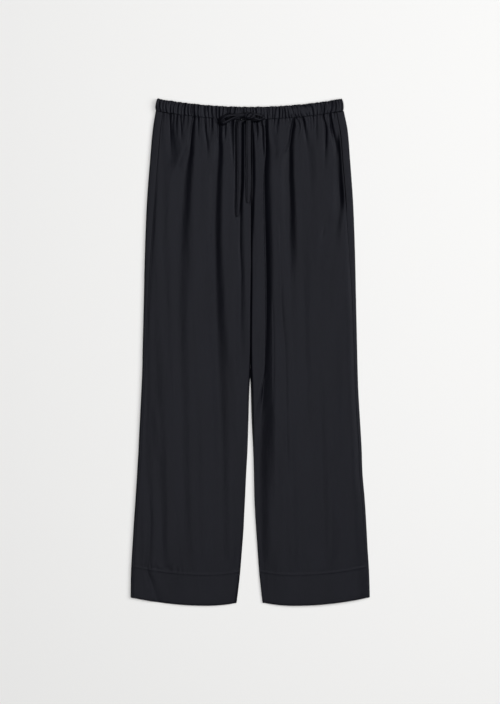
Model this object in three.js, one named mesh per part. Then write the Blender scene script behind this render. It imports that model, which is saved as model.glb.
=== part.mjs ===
// Wide-leg pull-on pants laid flat on their back, in millimetres.
// +X is the wearer's left, +Y runs up to the waist and +Z is up. The origin is on the ground, under the middle.
import * as THREE from 'three';

// Lengths of the garment
const WAIST_SEAM_Y = 480.8; // seam under the waistband, at the centre front
const BAND_HEIGHT = 25.7; // elastic waistband
const WAIST_RISE = 17; // the waist lies this much higher at the sides
const WAIST_HALF = 190; // half the relaxed waist
const CROTCH_Y = 190; // where the four leg panels meet
const HEM_Y = -525; // lowest point of a leg
const HEM_LOW_X = 90; // its distance from the centre
const HEM_OUTER_RISE = 17.3; // the hem rises this much at the side seam
const HEM_OUTER_RUN = 156; // over this width
const HEM_INNER_RISE = 5.5; // and this much at the inseam
const HEM_INNER_RUN = 60;
const HEM_SHARE = 0.933; // the turned-up hem starts at this share of a panel's length, 67 mm above its edge

// Thickness of the cloth and the room between the layers
const CLOTH = 1.2;
const HEM_CLOTH = 2; // two plies where the hem is turned up
const BAND_CLOTH = 3; // elastic inside its casing
const SEAM_GAP = 0.3;
const HOLLOW = 3.4; // most that a front panel stands off the back one
const THICKEST = 3; // a fold's crest is gathered up to this
const SIDE_LIFT = 2.8; // lift of the front panel at its side seam
const BAND_LIFT = 2.6; // room between the two halves of the waistband
const INSEAM_ROUND = 3; // radius of the fold along an inseam
const SEAM_ROUND = 0.6; // and of a sewn edge

// Gathers of the elastic
const GATHER_PITCH = 7.6;
const GATHER_DEPTH = 1.5; // on the waistband
const PANEL_GATHER_DEPTH = 1.1; // on the panels, just under it
const PANEL_GATHER_RUN = 44; // length over which those fade

// Outline of the garment from waist to hem: the two outer edges, the line between the legs, half the gap between
// them, and how far the side seam lies inside the outer edge, where the back panel wraps to the front.
const outline = [
  { y: 525, right: -191, left: 190, centre: 0, apart: 0.15, inset: 15 },
  { y: 498, right: -195.8, left: 195, centre: 0, apart: 0.15, inset: 15.5 },
  { y: 460, right: -201.4, left: 202.2, centre: 0.5, apart: 0.15, inset: 16 },
  { y: 400, right: -206.6, left: 207, centre: 1.5, apart: 0.15, inset: 16 },
  { y: 310, right: -213.2, left: 213.3, centre: 3.5, apart: 0.15, inset: 15 },
  { y: 210, right: -217.3, left: 217.1, centre: 3.4, apart: 0.15, inset: 12 },
  { y: 107, right: -219.6, left: 219.4, centre: 2.2, apart: 0.15, inset: 8 },
  { y: 0, right: -222.2, left: 221.8, centre: 1.2, apart: 0.15, inset: 6.5 },
  { y: -35, right: -222.8, left: 222.6, centre: 0.6, apart: 0.3, inset: 6.2 },
  { y: -79, right: -224.6, left: 224, centre: 0.1, apart: 2.6, inset: 6 },
  { y: -140, right: -227.6, left: 227.4, centre: 0.1, apart: 4.3, inset: 6 },
  { y: -203, right: -230.6, left: 231, centre: 0.7, apart: 6.5, inset: 6 },
  { y: -255, right: -233.5, left: 232.8, centre: 0, apart: 8.3, inset: 6 },
  { y: -307, right: -236.8, left: 237.2, centre: -0.6, apart: 9.9, inset: 6 },
  { y: -359, right: -240.3, left: 240.5, centre: -0.3, apart: 13.3, inset: 6 },
  { y: -410, right: -243.3, left: 243.2, centre: -0.5, apart: 17.2, inset: 6 },
  { y: -462, right: -246.1, left: 246.4, centre: -0.7, apart: 21.4, inset: 6 },
  { y: -530, right: -247.1, left: 248.2, centre: -1, apart: 29.6, inset: 6 },
];

// Fullness of a front panel from waist to hem: how high it stands between its seams
const fullness = [
  { y: 498, lift: 4.2 },
  { y: 400, lift: 4.1 },
  { y: 200, lift: 4.1 },
  { y: 0, lift: 3.9 },
  { y: -200, lift: 3.7 },
  { y: -400, lift: 3.1 },
  { y: -462, lift: 2.3 },
  { y: -530, lift: 2.2 },
];

// The large folds. A route has its top, middle and bottom; deep is how far a trough sinks, or a roll rises where it
// is negative; fadeIn and fadeOut are the lengths over which it starts and ends.
const folds = [
  { side: 'right', y: [476, 464, 452], x: [-164, -163, -162], half: 6, deep: 2.6, fadeIn: 6, fadeOut: 18 },
  { side: 'right', y: [472, 460, 446], x: [-146, -143, -141], half: 6, deep: 2.4, fadeIn: 6, fadeOut: 18 },
  { side: 'right', y: [482, 330, 132], x: [-119, -131, -143], half: 9, deep: 3.6, fadeIn: 6, fadeOut: 120 },
  { side: 'right', y: [474, 462, 446], x: [-107.5, -106.5, -105], half: 5, deep: 2.2, fadeIn: 6, fadeOut: 18 },
  { side: 'right', y: [462, 442, 420], x: [-92, -89, -87], half: 5.5, deep: 2.2, fadeIn: 10, fadeOut: 25 },
  { side: 'right', y: [478, 260, 60], x: [-58.5, -62, -55.5], half: 9.5, deep: 4, fadeIn: 14, fadeOut: 130 },
  { side: 'right', y: [40, -80, -215], x: [-55.5, -56, -56], half: 17, deep: 1.3, fadeIn: 90, fadeOut: 60 },
  { side: 'right', y: [462, 444, 430], x: [-44, -42, -41], half: 5, deep: 1.8, fadeIn: 8, fadeOut: 20 },
  { side: 'right', y: [260, 180, 120], x: [-20, -20, -19.5], half: 6, deep: 1.6, fadeIn: 30, fadeOut: 50 },
  { side: 'right', y: [-120, -180, -235], x: [-187, -176, -164], half: 9, deep: -1.1, fadeIn: 35, fadeOut: 35 },
  { side: 'right', y: [-185, -310, -450], x: [-161, -145, -128], half: 11, deep: 1.7, fadeIn: 40, fadeOut: 25 },
  { side: 'right', y: [-250, -345, -440], x: [-201, -198.5, -196], half: 8, deep: 1.4, fadeIn: 40, fadeOut: 20 },
  { side: 'right', y: [-448, -478, -506], x: [-214, -203, -195], half: 7, deep: 1.1, fadeIn: 12, fadeOut: 18 },
  { side: 'left', y: [478, 300, 120], x: [12.5, 15.5, 17], half: 6.5, deep: -1, fadeIn: 20, fadeOut: 90 },
  { side: 'left', y: [484, 170, -70], x: [33.5, 40, 38], half: 8.5, deep: 5, fadeIn: 6, fadeOut: 60 },
  { side: 'left', y: [-20, -190, -390], x: [37, 34, 47.5], half: 8.5, deep: 3.6, fadeIn: 60, fadeOut: 110 },
  { side: 'left', y: [484, 370, 205], x: [90, 85.5, 93.5], half: 8, deep: 3.4, fadeIn: 6, fadeOut: 75 },
  { side: 'left', y: [478, 452, 424], x: [108.5, 114, 121], half: 6, deep: 2.4, fadeIn: 6, fadeOut: 25 },
  { side: 'left', y: [482, 440, 385], x: [157, 158, 158.5], half: 5.5, deep: 2.4, fadeIn: 6, fadeOut: 40 },
  { side: 'left', y: [486, 462, 436], x: [167.5, 172.5, 180], half: 6, deep: 2.8, fadeIn: 6, fadeOut: 22 },
  { side: 'left', y: [258, 246, 232], x: [153, 151, 149.5], half: 9, deep: 1.5, fadeIn: 18, fadeOut: 20 },
  { side: 'left', y: [250, 170, 108], x: [177, 173, 169], half: 8, deep: 1.2, fadeIn: 50, fadeOut: 50 },
  { side: 'left', y: [120, -120, -400], x: [112, 122, 132], half: 34, deep: -0.8, fadeIn: 160, fadeOut: 90 },
];

// Rows of the panels, as the share of their length below the waistband. A back panel has the sewn rows, between
// which every seam is straight, and a front panel has those and more.
const sewnRows = [
  0, 0.03, 0.07, 0.12, 0.18, 0.24, 0.3, 0.36, 0.42, 0.49, 0.56, 0.63, 0.7, 0.77, 0.84, 0.9, HEM_SHARE, 0.94, 0.97, 1,
];
const foldRows = [
  0.006, 0.014, 0.044, 0.056, 0.09, 0.15, 0.21, 0.27, 0.285, 0.33, 0.39, 0.455, 0.525, 0.595, 0.665, 0.735, 0.805,
  0.87,
];
const frontRows = [...sewnRows, ...foldRows].sort((a, b) => a - b);

// The drawstring's two free ends, from the knot to their tips: the middle of the strip and its width
const TIE_CLOTH = 1.6;
const rightTail = [
  { x: -19.4, y: 478.8, z: 11.4, width: 10.4 },
  { x: -21.8, y: 470, z: 10.3, width: 10.6 },
  { x: -23.4, y: 460, z: 9.6, width: 10.8 },
  { x: -24.2, y: 449, z: 9, width: 10.8 },
  { x: -24.6, y: 437, z: 8.5, width: 10.8 },
  { x: -24.7, y: 424, z: 8.2, width: 10.8 },
  { x: -24.7, y: 410, z: 8, width: 10.8 },
  { x: -24.7, y: 396, z: 8, width: 10.8 },
  { x: -24.7, y: 382, z: 8, width: 10.8 },
  { x: -24.8, y: 368, z: 8, width: 10.8 },
  { x: -24.9, y: 354, z: 8, width: 10.8 },
  { x: -25.1, y: 340, z: 8, width: 11 },
  { x: -25.4, y: 326, z: 8, width: 11.2 },
  { x: -25.8, y: 312, z: 8, width: 11 },
  { x: -26.4, y: 300, z: 8, width: 9.6 },
  { x: -27, y: 289, z: 8, width: 7.4 },
  { x: -27.4, y: 280, z: 8, width: 5.6 },
];
const leftTail = [
  { x: -3.6, y: 478.8, z: 11.4, width: 9.6 },
  { x: -3.6, y: 469, z: 10.3, width: 9.8 },
  { x: -3.6, y: 458, z: 9.6, width: 9.8 },
  { x: -3.6, y: 446, z: 9, width: 9.8 },
  { x: -3.6, y: 433, z: 8.5, width: 9.8 },
  { x: -3.5, y: 419, z: 8.2, width: 9.8 },
  { x: -3.5, y: 405, z: 8, width: 9.8 },
  { x: -3.5, y: 391, z: 8, width: 9.8 },
  { x: -3.5, y: 377, z: 8, width: 9.8 },
  { x: -3.5, y: 363, z: 8, width: 9.8 },
  { x: -3.5, y: 349, z: 8, width: 9.8 },
  { x: -3.5, y: 336, z: 8, width: 9.6 },
  { x: -3.6, y: 324, z: 8, width: 8.6 },
  { x: -3.8, y: 314, z: 8, width: 7.2 },
  { x: -3.9, y: 308.5, z: 8, width: 6.2 },
];

// The bow: its knot, and the routes of its two loops as closed drops seen from above
const KNOT = { x: -1, y: 488, bottom: 10.1, halfWidth: 14, halfHeight: 8.6, thick: 8.8 };
const LOOP_CLOTH = 1.5;
const LOOP_STRIP = 6.4; // height of the strip, which stands on its edge
const LOOP_BOTTOM = 12.8;
const LOOP_LEAN = 1.6; // its upper edge leans this far outward
const rightLoop = [
  { x: -15.6, y: 489.8 },
  { x: -24, y: 490.6 },
  { x: -35, y: 490.2 },
  { x: -46, y: 488.6 },
  { x: -56, y: 484.4 },
  { x: -61.6, y: 478 },
  { x: -60.6, y: 471.6 },
  { x: -54, y: 470.4 },
  { x: -45.6, y: 475.4 },
  { x: -36, y: 480.8 },
  { x: -26, y: 484.6 },
  { x: -15.6, y: 486 },
];
const leftLoop = [
  { x: 13.6, y: 483.6 },
  { x: 18.6, y: 480.8 },
  { x: 24, y: 478.8 },
  { x: 28.4, y: 480.4 },
  { x: 28.8, y: 484 },
  { x: 24.6, y: 486.8 },
  { x: 18.6, y: 488.6 },
  { x: 13.6, y: 489.6 },
];

const materials = {
  cloth: new THREE.MeshStandardMaterial({ color: 0x14151d, roughness: 0.5, metalness: 0 }),
  tie: new THREE.MeshStandardMaterial({ color: 0x171822, roughness: 0.48, metalness: 0 }),
};

// A column of a table at y: a smooth curve through its rows
function along(table, column, y) {
  const last = table.length - 1;
  if (y >= table[0].y) return table[0][column];
  if (y <= table[last].y) return table[last][column];
  const i = table.findIndex((row) => row.y < y) - 1;
  const slope = (k) => {
    const above = table[Math.max(k - 1, 0)];
    const below = table[Math.min(k + 1, last)];
    return (below[column] - above[column]) / (below.y - above.y);
  };
  const [a, b] = [table[i], table[i + 1]];
  const span = b.y - a.y;
  const t = (y - a.y) / span;
  const rise = b[column] - a[column];
  const [startSlope, endSlope] = [slope(i) * span, slope(i + 1) * span];
  return a[column] + t * startSlope + t * t * (3 * rise - 2 * startSlope - endSlope)
    + t * t * t * (startSlope + endSlope - 2 * rise);
}

function smooth(from, to, value) {
  const t = THREE.MathUtils.clamp((value - from) / (to - from), 0, 1);
  return t * t * (3 - 2 * t);
}

const mix = THREE.MathUtils.lerp;
const waistSeamY = (x) => WAIST_SEAM_Y + WAIST_RISE * (x / WAIST_HALF) ** 2;

function hemY(x) {
  const away = Math.abs(x) - HEM_LOW_X;
  if (away > 0) return HEM_Y + HEM_OUTER_RISE * (away / HEM_OUTER_RUN) ** 2;
  return HEM_Y + HEM_INNER_RISE * (away / HEM_INNER_RUN) ** 2;
}

const panelY = (x, share) => mix(waistSeamY(x), hemY(x), share);

// Wall of a leg panel: doubled inside the turned-up hem
const wallAt = (share) => (share > HEM_SHARE ? HEM_CLOTH : CLOTH);

// The gathers run at an uneven pitch: place of the gather numbered p, and the number of the gather at x
const unevenness = (p) => 0.15 * Math.sin(2.4 * p) + 0.07 * Math.sin(5.3 * p + 1);
const gatherX = (p) => GATHER_PITCH * (p + unevenness(p));

function gatherNumber(x) {
  let p = x / GATHER_PITCH;
  for (let pass = 0; pass < 30; pass++) p = x / GATHER_PITCH - unevenness(p);
  return p;
}

// Height of a gather between 0 in its valley and 1 on its crest, no two alike
function gatherHeight(x) {
  const p = gatherNumber(x);
  const gather = Math.floor(p);
  const strength = 0.72 + 0.28 * Math.sin(1.9 * gather + 0.7 * Math.sin(3.1 * gather));
  return 1 - strength * (1 - Math.sin(Math.PI * (p - gather)) ** 0.8);
}

// Where a fold runs at y, and how strong it is there
function foldX(fold, y) {
  const [y0, y1, y2] = fold.y;
  const [x0, x1, x2] = fold.x;
  const parts = [
    (x0 * (y - y1) * (y - y2)) / ((y0 - y1) * (y0 - y2)),
    (x1 * (y - y0) * (y - y2)) / ((y1 - y0) * (y1 - y2)),
    (x2 * (y - y0) * (y - y1)) / ((y2 - y0) * (y2 - y1)),
  ];
  return parts[0] + parts[1] + parts[2];
}

function foldStrength(fold, y) {
  const start = smooth(fold.y[0] + fold.fadeIn, fold.y[0] - fold.fadeIn, y);
  const end = smooth(fold.y[2] - fold.fadeOut, fold.y[2] + fold.fadeOut, y);
  return start * end;
}

// One leg of the garment: 'right' lies on -X, 'left' on +X
function leg(side) {
  const out = side === 'right' ? -1 : 1;
  const outerX = (y) => along(outline, side, y);
  const seamX = (y) => outerX(y) - out * along(outline, 'inset', y);
  const innerX = (y) => along(outline, 'centre', y) + out * along(outline, 'apart', y);
  const ownFolds = folds.filter((fold) => fold.side === side);

  // The side seam and the inner edge at a row, straight between the sewn rows
  const edgeAt = (xAt, share) => {
    const below = Math.max(sewnRows.findIndex((row) => row >= share), 1);
    const [a, b] = [sewnRows[below - 1], sewnRows[below]];
    return mix(xAt(panelY(xAt(0), a)), xAt(panelY(xAt(0), b)), (share - a) / (b - a));
  };
  const seamAt = (share) => edgeAt(seamX, share);
  const innerAt = (share) => edgeAt(innerX, share);

  // How high the front panel stands above its lowest place, before its gathers
  function lift(x, y) {
    const fromSeam = Math.abs(seamX(y) - x);
    const fromCentre = Math.abs(x - innerX(y));
    const turned = 1 - smooth(CROTCH_Y - 40, CROTCH_Y + 20, y);
    let height = mix(SIDE_LIFT, along(fullness, 'lift', y), smooth(4, 26, fromSeam));
    height -= mix(0.7, 0.4, turned) * (1 - smooth(1, 16, fromCentre));
    const clear = smooth(5, 16, fromSeam) * smooth(3, 9, fromCentre);
    for (const fold of ownFolds) {
      const away = (x - foldX(fold, y)) / fold.half;
      const shape = Math.exp(-away * away) - 0.25 * Math.exp(-((Math.abs(away) - 1.9) ** 2));
      height -= clear * fold.deep * foldStrength(fold, y) * shape;
    }
    return THREE.MathUtils.clamp(height, 0, HOLLOW + THICKEST - CLOTH);
  }

  function front(x, share) {
    const y = panelY(x, share);
    const wall = wallAt(share);
    const high = lift(x, y);
    const inside = wall + SEAM_GAP + Math.min(high, HOLLOW);
    const below = waistSeamY(x) - y;
    const fade = 1 - smooth(0, PANEL_GATHER_RUN, below);
    const clear = smooth(3, 10, Math.abs(seamX(y) - x)) * smooth(3, 8, Math.abs(x - innerX(y)));
    const gathers = PANEL_GATHER_DEPTH * fade * clear * gatherHeight(x);
    const crest = Math.min(Math.max(high - HOLLOW, 0) + gathers, THICKEST - CLOTH);
    return { inside, outside: inside + wall + crest };
  }

  return { out, outerX, seamX, innerX, seamAt, innerAt, ownFolds, front };
}

// Triangles between two lines of points that run the same way, each point with its share u along the line
function zip(a, b, faces, flip = false) {
  let [i, j] = [0, 0];
  while (i < a.length - 1 || j < b.length - 1) {
    const stepA = j === b.length - 1 || (i < a.length - 1 && a[i + 1].u <= b[j + 1].u);
    const face = stepA ? [a[i].id, a[i + 1].id, b[j].id] : [a[i].id, b[j + 1].id, b[j].id];
    if (stepA) i++;
    else j++;
    faces.push(flip ? face.reverse() : face);
  }
}

function meshFrom(points, faces) {
  const geometry = new THREE.BufferGeometry();
  const at = points.map((p) => new THREE.Vector3(p.x, p.y, p.z));
  const volume = faces.reduce((sum, [a, b, c]) => sum + at[a].dot(at[b].clone().cross(at[c])), 0);
  const outward = volume < 0 ? faces.map(([a, b, c]) => [a, c, b]) : faces;
  geometry.setAttribute('position', new THREE.Float32BufferAttribute(at.flatMap((v) => v.toArray()), 3));
  geometry.setIndex(outward.flat());
  geometry.computeVertexNormals();
  return geometry;
}

// A closed sheet of cloth from the rows of its outer face and the rows of its inner face
function sheet(outerRows, innerRows) {
  const points = [];
  for (const rows of [outerRows, innerRows]) {
    for (const row of rows) {
      for (const point of row) point.id = points.push(point) - 1;
    }
  }
  const faces = [];
  for (const [rows, flip] of [[outerRows, false], [innerRows, true]]) {
    for (let r = 0; r < rows.length - 1; r++) zip(rows[r], rows[r + 1], faces, flip);
  }
  const edge = (rows, pick) => rows.map((row, r) => ({ id: pick(row).id, u: r / (rows.length - 1) }));
  const first = (row) => row[0];
  const last = (row) => row[row.length - 1];
  zip(innerRows[0], outerRows[0], faces);
  zip(last(outerRows), last(innerRows), faces);
  zip(edge(outerRows, first), edge(innerRows, first), faces);
  zip(edge(innerRows, last), edge(outerRows, last), faces);
  return meshFrom(points, faces);
}

// Places across a front panel at one row, from its side seam to its inner edge. They follow the large folds, and
// the outer face has more where the waistband gathers it.
function placesAcross(panel, share, from, to, fine) {
  const y = panelY((from + to) / 2, share);
  const width = Math.abs(to - from);
  const places = [];
  const add = (x, room) => {
    const s = (x - from) / (to - from);
    if (s * width < room || (1 - s) * width < room) return;
    if (places.every((other) => Math.abs(other - s) * width > room)) places.push(s);
  };
  for (const fold of panel.ownFolds) {
    if (foldStrength(fold, y) < 0.12) continue;
    for (const step of [0, -0.55, 0.55, -1.1, 1.1, -1.9, 1.9]) add(foldX(fold, y) + step * fold.half, 2.4);
  }
  const spacing = share < 0.15 ? 12 : 16;
  const count = Math.round(width / spacing);
  for (let k = 1; k < count; k++) add(from + (k / count) * (to - from), spacing * 0.45);
  if (fine) {
    const [low, high] = [from, to].map(gatherNumber).sort((a, b) => a - b);
    for (let gather = Math.floor(low); gather < high; gather++) {
      for (const part of [0, 0.22, 0.5, 0.78]) add(gatherX(gather + part), 1.1);
    }
  }
  return [0, ...places.sort((a, b) => a - b), 1];
}

// Along its inner edge a front panel turns down over a rim, which ends on a foot: under the middle of the garment
// the foot lies a little below the cloth's inner face, and along the inseam it stands on the back panel.
const FOOT_WALLS = 1.15; // from the outer face down to the foot, in walls
const INNER_FOOT_WALLS = 1.08; // and down to the foot's inner corner
const RIM_INSIDE_DROP = 0.4; // the rim's inner face starts this far below the round
const RIM_CORNER = 0.3; // share of the round that its corner point takes off

function frontPanel(panel) {
  const { out } = panel;
  const length = WAIST_SEAM_Y - HEM_Y;
  function row(share, inner) {
    const fine = !inner && share * length < PANEL_GATHER_RUN;
    const from = panel.seamAt(share) - (out * SEAM_GAP) / 2;
    const edge = panel.innerAt(share);
    const turned = 1 - smooth(CROTCH_Y - 35, CROTCH_Y + 15, panelY(edge, share));
    const round = mix(SEAM_ROUND, INSEAM_ROUND, turned);
    const to = edge + out * round;
    const trim = share === 0 ? SEAM_GAP / 2 : 0;
    const at = (x, key) => ({ x, y: panelY(x, share) - trim, z: panel.front(x, share)[key] });
    const key = inner ? 'inside' : 'outside';
    const places = placesAcross(panel, share, from, to, fine);
    const across = places.map((s) => ({ ...at(mix(from, to, s), key), u: s }));
    const shoulder = at(to, 'outside');
    const wall = wallAt(share);
    const foot = mix(shoulder.z - FOOT_WALLS * wall, wall + SEAM_GAP, turned);
    const corner = mix(shoulder.z - INNER_FOOT_WALLS * wall, shoulder.z - round - RIM_INSIDE_DROP, turned);
    const rim = inner
      ? [
        { x: edge + out * wall, z: corner, u: 1.6 },
        { x: edge + out * wall, z: foot, u: 2 },
      ]
      : [
        { x: edge + out * RIM_CORNER * round, z: shoulder.z - RIM_CORNER * round, u: 1.2 },
        { x: edge, z: shoulder.z - round, u: 1.6 },
        { x: edge, z: foot, u: 2 },
      ];
    if (inner) across.pop();
    return [...across, ...rim.map((point) => ({ ...point, y: shoulder.y }))];
  }
  return sheet(frontRows.map((share) => row(share, false)), frontRows.map((share) => row(share, true)));
}

// The section of a back piece: flat on the ground, round its outer edge and back over the top to the side seam
function wrapLine({ out, edge, seam, start, yAt, wall, top, inner }) {
  const radius = top / 2 - (inner ? wall : 0);
  const hubX = edge - out * (top / 2);
  const hubZ = top / 2;
  const flat = [0, 0.25, 0.5, 0.75, 0.94].map((s) => ({ x: mix(start, hubX, s), z: inner ? wall : 0 }));
  const bend = [-80, -45, -10, 25, 60, 90].map((degrees) => {
    const angle = THREE.MathUtils.degToRad(degrees);
    return { x: hubX + out * radius * Math.cos(angle), z: hubZ + radius * Math.sin(angle) };
  });
  const end = { x: seam + (out * SEAM_GAP) / 2, z: hubZ + radius };
  const line = [...flat, ...bend, end];
  return line.map((point, k) => ({ ...point, y: yAt(point.x), u: k / (line.length - 1) }));
}

function backPanel(panel) {
  function row(share, inner) {
    const wall = wallAt(share);
    const trim = share === 0 ? SEAM_GAP / 2 : 0;
    return wrapLine({
      out: panel.out,
      edge: panel.outerX(panelY(panel.outerX(0), share)),
      seam: panel.seamAt(share),
      start: panel.innerAt(share),
      yAt: (x) => panelY(x, share) - trim,
      wall,
      top: 2 * wall + SEAM_GAP + SIDE_LIFT,
      inner,
    });
  }
  return sheet(sewnRows.map((share) => row(share, false)), sewnRows.map((share) => row(share, true)));
}

// The waistband: rows across its height, with rounded upper and lower edges
const bandRows = [
  { up: 0.006, round: 0.42 },
  { up: 0.07, round: 0.12 },
  { up: 0.5, round: 0 },
  { up: 0.9, round: 0.14 },
  { up: 0.985, round: 0.5 },
  { up: 1, round: 0.85 },
];
const bandY = (x, up) => waistSeamY(x) + SEAM_GAP / 2 + up * BAND_HEIGHT;
const BAND_TOP = 2 * BAND_CLOTH + SEAM_GAP + BAND_LIFT - 0.6;

function waistbandFront(right, left) {
  const middle = bandY(WAIST_HALF, 0.5);
  const from = right.seamX(middle) + SEAM_GAP / 2;
  const to = left.seamX(middle) - SEAM_GAP / 2;
  const [low, high] = [gatherNumber(from), gatherNumber(to)];
  const inside = BAND_CLOTH + SEAM_GAP + BAND_LIFT;
  function places(parts) {
    const list = [0];
    for (let gather = Math.ceil(low); gather < high; gather++) {
      for (const part of parts) {
        const s = (gatherX(gather + part) - from) / (to - from);
        if (s > 0.004 && s < 0.996) list.push(s);
      }
    }
    return [...list, 1];
  }
  function row({ up, round }, inner) {
    const seamY = bandY(WAIST_HALF, up);
    const start = right.seamX(seamY) + SEAM_GAP / 2;
    const end = left.seamX(seamY) - SEAM_GAP / 2;
    return places(inner ? [0] : [0, 0.22, 0.5, 0.78]).map((s) => {
      const x = mix(start, end, s);
      const ends = smooth(0, 0.03, Math.min(s, 1 - s));
      const body = BAND_TOP - inside;
      const crest = GATHER_DEPTH * ends * gatherHeight(x) * (1 - round);
      const z = inner ? inside : inside + body * (1 - 0.6 * round) + crest;
      return { x, y: bandY(x, up), z, u: s };
    });
  }
  const outerRows = bandRows.map((band) => row(band, false));
  const innerRows = [bandRows[0], bandRows[2], bandRows[5]].map((band) => row(band, true));
  return sheet(outerRows, innerRows);
}

// The back half of the waistband lies flat and wraps round both ends to the front
function waistbandBack(right, left) {
  function row({ up, round }, inner) {
    const y = bandY(WAIST_HALF, up);
    const squeeze = inner ? 0 : 0.6 * round * (BAND_CLOTH - 0.8);
    const halves = [right, left].map((panel) => {
      const edge = panel.outerX(y);
      const line = wrapLine({
        out: panel.out,
        edge,
        seam: panel.seamX(y),
        start: 0,
        yAt: (x) => bandY(x, up),
        wall: BAND_CLOTH,
        top: BAND_TOP,
        inner,
      });
      const hub = { x: edge - (panel.out * BAND_TOP) / 2, z: BAND_TOP / 2 };
      return line.map((point, k) => {
        if (k < 6) return point;
        const alongX = k === line.length - 1 ? 0 : point.x - hub.x;
        const reach = Math.hypot(alongX, point.z - hub.z);
        const pull = squeeze / reach;
        return { ...point, x: point.x - alongX * pull, z: point.z - (point.z - hub.z) * pull };
      });
    });
    const whole = [...halves[0].reverse(), ...halves[1].slice(1)];
    return whole.map((point, k) => ({ ...point, u: k / (whole.length - 1) }));
  }
  const outerRows = bandRows.map((band) => row(band, false));
  const innerRows = [bandRows[0], bandRows[2], bandRows[5]].map((band) => row(band, true));
  return sheet(outerRows, innerRows);
}

// The facing of a side pocket, a strip just under the open stretch of the side seam
const POCKET = { top: 470, bottom: 325, steps: 8, behind: 7, inward: 4, cloth: 0.9 };
function pocketFacing(panel) {
  const under = CLOTH + SIDE_LIFT;
  function row(step, z) {
    const y = mix(POCKET.top, POCKET.bottom, step / POCKET.steps);
    const seam = panel.seamX(y);
    const ends = [seam + panel.out * POCKET.behind, seam, seam - panel.out * POCKET.inward];
    return ends.map((x, k) => ({ x, y, z, u: k / 2 }));
  }
  const steps = Array.from({ length: POCKET.steps + 1 }, (_, step) => step);
  return sheet(steps.map((step) => row(step, under)), steps.map((step) => row(step, under - POCKET.cloth)));
}

// A strip swept along a route: one eight-sided flat section for each place, with its flat ends closed
function strip(route, sectionAt) {
  const points = [];
  const faces = [];
  const rings = route.map((place, k) => {
    const before = route[Math.max(k - 1, 0)];
    const after = route[Math.min(k + 1, route.length - 1)];
    const heading = new THREE.Vector3().subVectors(after, before).normalize();
    const ring = sectionAt(place, heading).map((v, n) => ({ ...v, u: n / 8, id: points.push(v) - 1 }));
    return [...ring, { ...ring[0], u: 1 }];
  });
  for (let k = 0; k < rings.length - 1; k++) zip(rings[k], rings[k + 1], faces);
  for (const [ring, flip] of [[rings[0], true], [rings[rings.length - 1], false]]) {
    for (let n = 1; n < 7; n++) {
      const face = [ring[0].id, ring[n].id, ring[n + 1].id];
      faces.push(flip ? face.reverse() : face);
    }
  }
  return meshFrom(points, faces);
}

const flatSection = [[1, 0], [0.82, 1], [0, 1], [-0.82, 1], [-1, 0], [-0.82, -1], [0, -1], [0.82, -1]];

function tail(route) {
  const places = route.map((row) => Object.assign(new THREE.Vector3(row.x, row.y, row.z), { width: row.width }));
  return strip(places, (place, heading) => {
    const across = new THREE.Vector3(0, 0, 1).cross(heading).normalize();
    const up = heading.clone().cross(across);
    return flatSection.map(([w, h]) => place.clone()
      .addScaledVector(across, (w * place.width) / 2)
      .addScaledVector(up, (h * TIE_CLOTH) / 2));
  });
}

function loop(route, out) {
  const curve = new THREE.CatmullRomCurve3(route.map(({ x, y }) => new THREE.Vector3(x, y, 0)), false, 'centripetal');
  const middle = route.reduce((sum, p) => sum.add(new THREE.Vector3(p.x, p.y, 0)), new THREE.Vector3());
  middle.divideScalar(route.length);
  return strip(curve.getPoints(route.length * 2), (place, heading) => {
    const up = new THREE.Vector3(0, 0, 1);
    const side = heading.clone().cross(up);
    const outward = place.clone().sub(middle).dot(side) > 0 ? 1 : -1;
    const free = smooth(2, 12, out * place.x - KNOT.halfWidth);
    return flatSection.map(([w, h]) => place.clone()
      .addScaledVector(up, LOOP_BOTTOM + (LOOP_STRIP * (w + 1)) / 2)
      .addScaledVector(side, (h * LOOP_CLOTH) / 2 + (outward * free * LOOP_LEAN * (w + 1)) / 2));
  });
}

// The knot: a soft lump, flat where it lies on the waistband, with a crease where the strip crosses over itself
function knot() {
  const geometry = new THREE.SphereGeometry(1, 20, 12);
  const place = geometry.attributes.position;
  const blunt = (value, power) => Math.sign(value) * Math.abs(value) ** power;
  for (let k = 0; k < place.count; k++) {
    const [x, y, z] = [place.getX(k), place.getY(k), place.getZ(k)];
    const crease = 1 - 0.22 * Math.exp(-(((x + 0.5 * y) / 0.22) ** 2)) * Math.max(z, 0);
    place.setXYZ(
      k,
      KNOT.x + KNOT.halfWidth * blunt(x, 0.8),
      KNOT.y + KNOT.halfHeight * blunt(y, 0.8),
      KNOT.bottom + (KNOT.thick / 2) * (1 + blunt(z, z < 0 ? 0.35 : 0.8) * crease),
    );
  }
  return geometry;
}

const right = leg('right');
const left = leg('left');
const pieces = [
  ['front_right_leg', frontPanel(right), materials.cloth],
  ['front_left_leg', frontPanel(left), materials.cloth],
  ['back_right_leg', backPanel(right), materials.cloth],
  ['back_left_leg', backPanel(left), materials.cloth],
  ['waistband_front', waistbandFront(right, left), materials.cloth],
  ['waistband_back', waistbandBack(right, left), materials.cloth],
  ['pocket_facing_right', pocketFacing(right), materials.cloth],
  ['pocket_facing_left', pocketFacing(left), materials.cloth],
  ['drawstring_knot', knot(), materials.tie],
  ['drawstring_loop_right', loop(rightLoop, -1), materials.tie],
  ['drawstring_loop_left', loop(leftLoop, 1), materials.tie],
  ['drawstring_tail_right', tail(rightTail), materials.tie],
  ['drawstring_tail_left', tail(leftTail), materials.tie],
];

const group = new THREE.Group();
for (const [name, geometry, material] of pieces) {
  const mesh = new THREE.Mesh(geometry, material);
  mesh.name = name;
  group.add(mesh);
}

export default group;
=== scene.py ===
import math

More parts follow.
